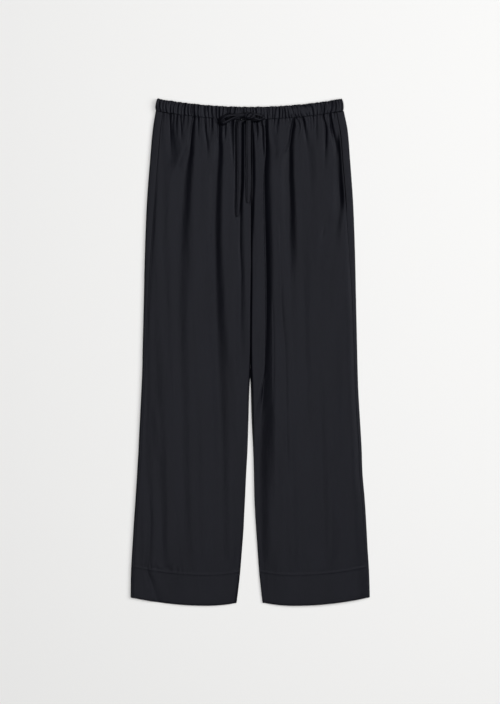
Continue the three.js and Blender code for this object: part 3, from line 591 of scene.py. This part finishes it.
def side_of(out):
    """The edges, folds and height of one front panel. out is -1 on the wearer's right and 1 on the left."""
    edge_column = 1 if out < 0 else 2
    folds = RIGHT_FOLDS if out < 0 else LEFT_FOLDS

    def outer_x(y):
        return along(OUTLINE, edge_column, y)

    def seam_x(y):
        return outer_x(y) - out * along(OUTLINE, 5, y)

    def inner_x(y):
        return along(OUTLINE, 3, y) + out * along(OUTLINE, 4, y)

    def height(x, share):
        """Height of the front's outer face over the ground."""
        y = panel_y(x, share)
        from_seam = np.abs(seam_x(y) - x)
        from_inner = np.abs(x - inner_x(y))
        below_waist = waist_seam_y(x) - y
        in_leg = 1 - smooth(CROTCH_Y - 0.035, CROTCH_Y + 0.015, y)
        # The folds and creases fade out beside the side seam and the inseam
        clear = smooth(0.0005, 0.007, from_seam) * smooth(0.0003, 0.0025, from_inner)
        lift = fullness(out, x, y, from_seam, from_inner)
        lift = lift - clear * fold_depths(folds, x, y) - under_ties(x, y) - under_bow(x, y)
        lift = lift + RIPPLE_HEIGHT * clear * ripples(x, y) * smooth(-0.46, -0.4, y)
        lift = lift + POCKET_LIFT * pocket_mouth(out, y) * np.clip(1 - from_seam / POCKET_LIFT_RUN, 0, 1)
        lift = lift + clear * waist_gathers(x, below_waist)
        lift = lift + hem_relief(x, y - panel_y(x, HEM_SHARE), clear)
        z = LOWEST + np.maximum(lift, 0)
        # The fronts turn down to each other at the centre seam, and nearly to the ground between the legs
        seam_foot = z * (0.15 + 0.65 * (1 - smooth(0.16, 0.3, y)))
        floor = LOWEST - 0.0012 * in_leg
        leg_foot = floor + (z - floor) * 0.6 * smooth(-0.04, 0.02, y)
        # The cloth turns down along the inseam, at the side seam, at the waist seam and at the hem's edge
        for distance, radius, foot in (
            (from_inner, INSEAM_ROUND + LEG_ROUND * in_leg, seam_foot * (1 - in_leg) + leg_foot * in_leg),
            (from_seam, SIDE_ROUND, z - seam_depth(out, y)),
            (below_waist, WAIST_ROUND, z - WAIST_DIP),
            (y - hem_y(x), HEM_ROUND, z - HEM_ROUND),
        ):
            inside = np.clip(distance / radius, 0, 1)
            z = foot + (z - foot) * np.sqrt(np.maximum(1 - (1 - inside) ** 2, 0))
        return z

    return {
        "out": out,
        "outer_x": outer_x,
        "seam_x": seam_x,
        "inner_x": inner_x,
        "height": height,
        "folds": folds,
    }


def quads(a, b, c, d):
    """Four-cornered faces from four arrays of the corners' numbers."""
    return np.stack([a.ravel(), b.ravel(), c.ravel(), d.ravel()], axis=1)


def sheet_of_cloth(name, grid, inward, material):
    """A closed thin sheet: the grid is its outer face, and the inner face lies a cloth's thickness in."""
    outer = np.arange(grid[:, :, 0].size).reshape(grid.shape[:2])
    inner = outer + outer.size
    points = np.concatenate([grid.reshape(-1, 3), (grid + inward * SHEET).reshape(-1, 3)])
    faces = [
        quads(outer[:-1, :-1], outer[:-1, 1:], outer[1:, 1:], outer[1:, :-1]),
        quads(inner[:-1, :-1], inner[1:, :-1], inner[1:, 1:], inner[:-1, 1:]),
        quads(outer[0, 1:], outer[0, :-1], inner[0, :-1], inner[0, 1:]),
        quads(outer[-1, :-1], outer[-1, 1:], inner[-1, 1:], inner[-1, :-1]),
        quads(outer[:-1, 0], outer[1:, 0], inner[1:, 0], inner[:-1, 0]),
        quads(outer[1:, -1], outer[:-1, -1], inner[:-1, -1], inner[1:, -1]),
    ]
    return build(name, points, np.concatenate(faces).tolist(), material)


def inward_of(grid, towards):
    """Unit vectors into the cloth, square to its outer face; towards is a rough way in at each point."""
    normals = np.cross(np.gradient(grid, axis=1), np.gradient(grid, axis=0))
    normals /= np.maximum(np.linalg.norm(normals, axis=2), 1e-12)[:, :, None]
    wrong = np.einsum("ijk,ijk->ij", normals, np.broadcast_to(towards, grid.shape)) < 0
    normals[wrong] *= -1
    return normals


def crowded(spacing_at, length):
    """Places from 0 to 1 along a length, as close together as spacing_at says at each distance."""
    places = [0.0]
    while places[-1] < length:
        places.append(places[-1] + spacing_at(places[-1], length - places[-1]))
    places = np.array(places)
    return places / places[-1]


def row_spacing(down, left):
    """Distance to the next row of points: small at the waist seam, the hem's edge and its sewn line."""
    to_hem_line = abs(left - HEM_DEPTH)
    if down < 0.003 or left < 0.003 or to_hem_line < 0.006:
        return 0.0007
    if down < 0.05 or to_hem_line < 0.02:
        return 0.0022
    return 0.0048


def columns(panel, y, start, end):
    """The x of each column from start to end, closer together in the folds and beside the seams."""
    x = np.linspace(start, end, 700)
    in_folds = np.abs(fold_depths(panel["folds"], x, np.full_like(x, y))) / (3 * MM)
    crowd = 1 + 1.6 * np.clip(in_folds, 0, 1)
    crowd += 4 * hump(x - start, 2 * MM) + 4 * hump(x - end, 3 * MM)
    passed = np.concatenate([[0], np.cumsum((crowd[1:] + crowd[:-1]) / 2)])
    return np.interp(np.linspace(0, passed[-1], PANEL_COLUMNS), passed, x)


cloth_satin = satin("cloth_satin", NAVY, roughness=0.4, crease_size=0.012, crease_height=0.0006)
right, left = side_of(-1), side_of(1)
for panel, piece_name, node, rests_on in (
    (right, "front_panel_right", "front_right_leg", "back_panel_right"),
    (left, "front_panel_left", "front_left_leg", "back_panel_left"),
):
    out = panel["out"]
    shares = crowded(row_spacing, PANEL_LENGTH)[:, None]
    rows = []
    for share in shares[:, 0]:
        start = float(panel["seam_x"](panel_y(out * EDGE_X, share))) - out * SEAM_GAP / 2
        end = float(panel["inner_x"](panel_y(0.0, share)))
        rows.append(columns(panel, float(panel_y(out * PANEL_MIDDLE_X, share)), start, end))
    x = np.array(rows)
    y = panel_y(x, shares)
    grid = np.stack([x + tucked(panel["folds"], x, y), y, panel["height"](x, shares)], axis=2)
    grid[0, :, 1] -= SEAM_GAP / 2
    piece = sheet_of_cloth(piece_name, grid, inward_of(grid, (0, 0, -1)), cloth_satin)
    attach(piece, "root")
    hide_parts(node)

# Leg panels, back
# The same cut as the front, a little wider: it lies flat on the ground and comes round the outer edge on to
# the top, where the side seam joins it to the front, with the pocket's mouth in the seam.
BACK_BOTTOM, BACK_BEND, BACK_TOP = 44, 22, 12  # columns of the grid under, round and over the edge
RIGHT_REACH, LEFT_REACH = 0.0028, 0.012  # how wide the round of each outer edge is, at most
LEFT_RAMP = 1.8  # 1 rounds the edge on the wearer's left like an ellipse, 2 makes it a straight ramp
TOP_AT_LEAST = 0.0008  # flat cloth between the round and the side seam
INNER_SHOWS = 0.0011  # the back shows this far beyond the front at the top of the gap between the legs
DENTS = 0.0009  # height of the hollows under the back
BACK_CAMBER = 0.0002
SEAM_LINE = 0.002  # width of the seam's line on the back


def back_section(panel, share):
    """A cross-section of a back panel, from the inseam along the ground, round the outer edge and over to the
    side seam: its points, and a rough way into the cloth at each."""
    out = panel["out"]
    edge_y, inner_y = panel_y(out * EDGE_X, share), panel_y(0.0, share)
    edge = float(panel["outer_x"](edge_y))
    seam = float(panel["seam_x"](edge_y)) - out * SEAM_GAP * 0.3
    inner = float(panel["inner_x"](inner_y))
    inner -= out * INNER_SHOWS * smooth(-0.32, -0.12, inner_y) * smooth(-0.03, -0.05, inner_y)
    radius = float(side_height(out, edge_y)) / 2
    reach = min(abs(edge - seam) - TOP_AT_LEAST, RIGHT_REACH if out < 0 else LEFT_REACH)
    hub = edge - out * reach

    x = inner + (hub - inner) * np.linspace(0, 1, BACK_BOTTOM, endpoint=False)
    away = np.minimum(np.abs(x - inner), np.abs(x - hub))
    dents = DENTS * smooth(0.006, 0.03, away) * np.maximum(ripples(x * 0.8, panel_y(x, share)), 0) ** 1.5
    bottom = np.stack([x, dents], axis=1)

    angle = np.linspace(-math.pi / 2, math.pi / 2, BACK_BEND)
    power = np.where((angle > 0) & (out > 0), LEFT_RAMP, 1)
    bend_x, bend_z = np.cos(angle) ** power, np.sign(angle) * np.abs(np.sin(angle)) ** power
    bend = np.stack([hub + out * reach * bend_x, radius + radius * bend_z], axis=1)

    t = np.linspace(0, 1, BACK_TOP + 1)[1:]
    top_x = hub + (seam - hub) * t
    to_line = (1 - np.clip(np.abs(top_x - seam) / SEAM_LINE, 0, 1)) ** 2
    top_z = 2 * radius + BACK_CAMBER * np.sin(math.pi * t) - seam_depth(out, panel_y(top_x, share)) * to_line
    line = np.concatenate([bottom, bend, np.stack([top_x, top_z], axis=1)])
    points = [(x, panel_y(x, share), z) for x, z in line]
    ways_in = [(hub - x if out * (x - hub) > 0 else 0, 0, radius - z) for x, z in line]
    return points, ways_in


for panel, piece_name, node in (
    (right, "back_panel_right", "back_right_leg"),
    (left, "back_panel_left", "back_left_leg"),
):
    sections = [back_section(panel, share) for share in crowded(row_spacing, PANEL_LENGTH)]
    grid = np.array([points for points, _ in sections])
    grid[0, :, 1] -= SEAM_GAP / 2
    ways_in = np.array([ways for _, ways in sections])
    piece = sheet_of_cloth(piece_name, grid, inward_of(grid, ways_in), cloth_satin)
    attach(piece, "root")
    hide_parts(node)

# Pocket facings
# A strip of the satin behind each pocket's mouth, sewn to the back panel's side of the pocket bag. It shows
# only through the slit in the side seam.
POCKET_TOP, POCKET_BOTTOM = 0.47, 0.325
FACING_OUTWARD, FACING_INWARD = 0.007, 0.004  # how far it reaches to each side of the seam
FACING_Z = 0.0039
FACING_WAVE = 0.0002
for panel, piece_name, node in (
    (right, "pocket_facing_satin_right", "pocket_facing_right"),
    (left, "pocket_facing_satin_left", "pocket_facing_left"),
):
    y = np.linspace(POCKET_TOP, POCKET_BOTTOM, 60)[:, None]
    x = panel["seam_x"](y) + panel["out"] * np.linspace(FACING_OUTWARD, -FACING_INWARD, 12)
    grid = np.stack([x, y + 0 * x, FACING_Z + FACING_WAVE * np.sin(60 * y) + 0 * x], axis=2)
    piece = sheet_of_cloth(piece_name, grid, inward_of(grid, (0, 0, -1)), cloth_satin)
    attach(piece, "root")
    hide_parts(node)

# Waistband
# A casing of the satin round wide elastic, sewn to the gathered panels. The elastic pulls it into narrow
# gathers, which lean here and there. It is a flattened ring, cut at the side seams into front and back.
BAND_HEIGHT = 0.0257
BAND_TOP_Z = 0.0088
BAND_BOTTOM_Z = 0.0003
BAND_PLY = 0.003  # elastic inside its casing
BAND_GATHERS = 0.0027  # height of the gathers
BAND_SIDES = 44  # points round the casing
BAND_STEP = 0.0009  # and the distance from one ring of points to the next
BAND_NAVY = (0.0032, 0.0034, 0.0056)
band_middle_y = float(waist_seam_y(WAIST_HALF)) + BAND_HEIGHT / 2
band_satin = satin("band_satin", BAND_NAVY, roughness=0.4, crease_size=0.005, crease_height=0.0003)
# Where a fold starts at the waist: its x, and its depth there
FOLD_TOPS = [(fold[0][1] * MM, fold[0][4] * MM) for fold in RIGHT_FOLDS + LEFT_FOLDS if fold[0][0] > 480]


def band_relief(x, up):
    """Height of the casing's gathers: an uneven run of them, and a deep one over each fold in the panels."""
    on = x + lean(x) * up * BAND_HEIGHT
    relief = BAND_GATHERS * (gathers(on) - 0.7) + 0.0004 * np.sin(1100 * on + 2 * np.sin(130 * on) + 3 * up)
    relief = relief + 0.0005 * np.sin(1900 * on + 3 * np.sin(170 * on)) * smooth(0.5, 0.85, up)
    for top_x, depth in FOLD_TOPS:
        relief = relief - 0.45 * depth * hump(on - top_x, 0.0022) * (1 - 0.5 * up)
    return relief


def band_edge(on, up):
    """Unevenness of the casing's upper edge."""
    bumps = 0.0004 * np.sin(870 * on + 2 * np.sin(210 * on))
    swells = 0.00035 * np.sin(330 * on + 2 * np.sin(90 * on))
    return (bumps + swells) * np.clip(2 * up - 1, 0, 1) ** 2


def band_spine(x_from, x_to):
    """Places along the top of the flattened ring: x, z, and the way out of the cloth."""
    x = np.linspace(x_from, x_to, int(abs(x_to - x_from) / BAND_STEP) + 1)
    return np.stack([x, np.full_like(x, BAND_TOP_Z), np.zeros_like(x), np.ones_like(x)], axis=1)


def casing(piece_name, node, spine):
    """The cloth of the casing along the spine, wrapped round the elastic, with its hollow inside."""
    angle = np.linspace(0, 2 * math.pi, BAND_SIDES, endpoint=False)
    up = 0.5 + 0.5 * np.sign(np.cos(angle)) * np.abs(np.cos(angle)) ** 0.4
    out = np.sign(np.sin(angle)) * np.abs(np.sin(angle)) ** np.where(up > 0.5, 0.5, 0.25)
    face = np.clip(out, 0, 1)
    bulge = 1 + 0.012 * np.sin(math.pi * np.clip(up, 0, 1)) - 0.012 * up
    travelled = np.concatenate([[0], np.cumsum(np.hypot(*np.diff(spine[:, :2], axis=0).T))])
    skins = []
    for inset in (0, SHEET):
        rings = []
        for (x, z, way_x, way_z), length in zip(spine, travelled):
            on_top = way_z > 0.5
            on = x if on_top else length
            sunk = under_bow(x, waist_seam_y(x) + up * BAND_HEIGHT) * on_top
            outward = (out - 1) * BAND_PLY / 2 + band_relief(on, up) * face - inset * out
            outward = outward - sunk * (0.5 + 0.3 * face)
            height = up * BAND_HEIGHT + band_edge(on, up) - inset * (2 * up - 1)
            ring_x = (x + way_x * outward) * bulge
            rings.append(np.stack([ring_x, waist_seam_y(ring_x) + height, z + way_z * outward], axis=1))
        skin = np.array(rings)
        skin[:, :, 2] = np.maximum(skin[:, :, 2], BAND_BOTTOM_Z + inset)
        skins.append(skin.reshape(-1, 3))
    first = np.arange(len(spine) * BAND_SIDES).reshape(len(spine), BAND_SIDES)
    turned = np.roll(first, -1, axis=1)
    second, second_turned = first + first.size, turned + first.size
    faces = np.concatenate([
        quads(first[:-1], turned[:-1], turned[1:], first[1:]),
        quads(second[:-1], second[1:], second_turned[1:], second_turned[:-1]),
        quads(first[0], second[0], second_turned[0], turned[0]),
        quads(first[-1], turned[-1], second_turned[-1], second[-1]),
    ])
    piece = build(piece_name, np.concatenate(skins), faces.tolist(), band_satin)
    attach(piece, "root")
    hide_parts(node)
    return piece


seam_right = float(right["seam_x"](band_middle_y))
seam_left = float(left["seam_x"](band_middle_y))
waistband_front = casing("waistband_casing_front", "waistband_front", band_spine(seam_right, seam_left))

# The back half: over the top to one end, round it, along the ground, round the other end and back on top
half_thick = (BAND_TOP_Z - BAND_BOTTOM_Z) / 2
hub_right = float(right["outer_x"](band_middle_y)) + half_thick
hub_left = float(left["outer_x"](band_middle_y)) - half_thick


def band_end(hub_x, start_angle):
    """Places round one end of the flattened ring."""
    turn = start_angle + np.linspace(0, math.pi, 17)[1:-1]
    way_out = np.stack([np.cos(turn), np.sin(turn)], axis=1)
    hub = np.array([hub_x, BAND_BOTTOM_Z + half_thick])
    return np.concatenate([hub + half_thick * way_out, way_out], axis=1)


under = np.linspace(hub_right, hub_left, 330)
flat, down = np.zeros_like(under), -np.ones_like(under)
back_spine = np.concatenate([
    band_spine(seam_right - SEAM_GAP, hub_right),
    band_end(hub_right, math.pi / 2),
    np.stack([under, np.full_like(under, BAND_BOTTOM_Z), flat, down], axis=1),
    band_end(hub_left, -math.pi / 2),
    band_spine(hub_left, seam_left + SEAM_GAP),
])
waistband_back = casing("waistband_casing_back", "waistband_back", back_spine)

# Drawstring, bow
# The strip is tied in front of the waistband: two loops, a long one to the wearer's right and a short one to
# the left, and a knot where the strip crosses over itself.
RIGHT_LOOP = [  # x, y, z, width and roll in degrees
    (-0.0100, 0.4902, 0.0160, 0.0050, 10),
    (-0.0200, 0.4896, 0.0158, 0.0048, 14),
    (-0.0320, 0.4890, 0.0152, 0.0050, 18),
    (-0.0440, 0.4882, 0.0148, 0.0056, 24),
    (-0.0540, 0.4856, 0.0146, 0.0078, 36),
    (-0.0605, 0.4800, 0.0142, 0.0112, 46),
    (-0.0615, 0.4742, 0.0138, 0.0124, 48),
    (-0.0560, 0.4706, 0.0138, 0.0096, 44),
    (-0.0490, 0.4742, 0.0142, 0.0062, 30),
    (-0.0400, 0.4794, 0.0146, 0.0050, 20),
    (-0.0310, 0.4836, 0.0150, 0.0048, 16),
    (-0.0200, 0.4868, 0.0156, 0.0048, 12),
    (-0.0100, 0.4884, 0.0158, 0.0048, 10),
]
LEFT_LOOP = [
    (0.0030, 0.4846, 0.0158, 0.0046, 10),
    (0.0080, 0.4828, 0.0156, 0.0046, 14),
    (0.0140, 0.4804, 0.0152, 0.0048, 20),
    (0.0205, 0.4786, 0.0148, 0.0054, 30),
    (0.0260, 0.4800, 0.0144, 0.0066, 44),
    (0.0282, 0.4838, 0.0144, 0.0070, 50),
    (0.0256, 0.4872, 0.0146, 0.0062, 36),
    (0.0190, 0.4892, 0.0150, 0.0052, 20),
    (0.0120, 0.4906, 0.0156, 0.0048, 12),
    (0.0050, 0.4920, 0.0160, 0.0048, 8),
]
LOOP_TENT = 0.0009
for table, piece_name, node in (
    (RIGHT_LOOP, "drawstring_bow_loop_right", "drawstring_loop_right"),
    (LEFT_LOOP, "drawstring_bow_loop_left", "drawstring_loop_left"),
):
    rows = through(table, 8)
    strip(piece_name, node, rows[:, :3], rows[:, 3], rows[:, 4], np.full(len(rows), LOOP_TENT))

KNOT_MIDDLE = Vector((-0.001, 0.488, 0.0144))
KNOT_HALF = Vector((0.0125, 0.0082, 0.0046))
KNOT_SIDES, KNOT_RINGS = 96, 64
KNOT_CREASES = [  # slant, x, width and depth, as shares of the knot's half size
    (0.55, -0.34, 0.1, 0.42),
    (0.5, 0.3, 0.09, 0.36),
    (-0.9, 0.75, 0.08, 0.25),
]


def blunt(value, power):
    """Makes a ball's side flatter and its edges fuller."""
    return math.copysign(abs(value) ** power, value)


points = []
for r in range(KNOT_RINGS):
    polar = math.pi * (r + 0.5) / KNOT_RINGS
    for k in range(KNOT_SIDES):
        turn = 2 * math.pi * k / KNOT_SIDES
        x, y, z = math.sin(polar) * math.cos(turn), math.sin(polar) * math.sin(turn), math.cos(polar)
        swell = 1 + 0.04 * math.sin(9 * y + 5 * x)
        for slant, crease_x, width, depth in KNOT_CREASES:
            swell -= depth * math.exp(-(((x - slant * y - crease_x) / width) ** 2)) * max(z + 0.2, 0)
        bulged = (blunt(x, 0.8), blunt(y, 0.8), blunt(z, 0.8 if z > 0 else 0.35) * swell)
        points.append(KNOT_MIDDLE + Vector([half * share for half, share in zip(KNOT_HALF, bulged)]))
knot = build("drawstring_bow_knot", points, tube_faces(KNOT_RINGS, KNOT_SIDES), tie_satin)
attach(knot, "root")
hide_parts("drawstring_knot")

# Ground and light
# A plain white surface, lit softly from above and more strongly from the wearer's left, so that each fold has
# a lit side and a dark one and the garment throws a narrow soft shadow on the other side.
GROUND_REACH = 14
GROUND_WHITE = (0.831, 0.829, 0.821, 1)
ground_mesh = bpy.data.meshes.new("ground")
corners = [(GROUND_REACH * x, GROUND_REACH * y, 0) for x, y in ((-1, -1), (1, -1), (1, 1), (-1, 1))]
ground_mesh.from_pydata(corners, [], [(0, 1, 2, 3)])
ground = bpy.data.objects.new("ground", ground_mesh)
ground_finish = bpy.data.materials.new("ground_finish")
ground_finish.use_nodes = True
ground_shader = ground_finish.node_tree.nodes["Principled BSDF"]
ground_shader.inputs["Base Color"].default_value = GROUND_WHITE
ground_shader.inputs["Roughness"].default_value = 0.95
ground_shader.inputs["Specular IOR Level"].default_value = 0.1
ground_mesh.materials.append(ground_finish)
bpy.context.scene.collection.objects.link(ground)


def area_light(name, place, aim, size, power):
    """A white rectangular lamp at a place, turned to what it is aimed at."""
    lamp = bpy.data.lights.new(name, "AREA")
    lamp.shape = "RECTANGLE"
    lamp.size, lamp.size_y = size
    lamp.energy = power
    holder = bpy.data.objects.new(name, lamp)
    holder.location = place
    holder.rotation_euler = (Vector(aim) - Vector(place)).to_track_quat("-Z", "Y").to_euler()
    bpy.context.scene.collection.objects.link(holder)


area_light("overhead_light", place=(0.1, 0.5, 4.4), aim=(0, 0.1, 0), size=(3.4, 5.6), power=189)
area_light("side_light", place=(5.2, 1.2, 3.8), aim=(0, 0.1, 0.2), size=(5.4, 3.2), power=288)
world = bpy.data.worlds.new("studio")
world.use_nodes = True
background = world.node_tree.nodes["Background"]
background.inputs["Color"].default_value = (1, 1, 1, 1)
background.inputs["Strength"].default_value = 0.01
bpy.context.scene.world = world
bpy.context.scene.view_settings.view_transform = "Standard"
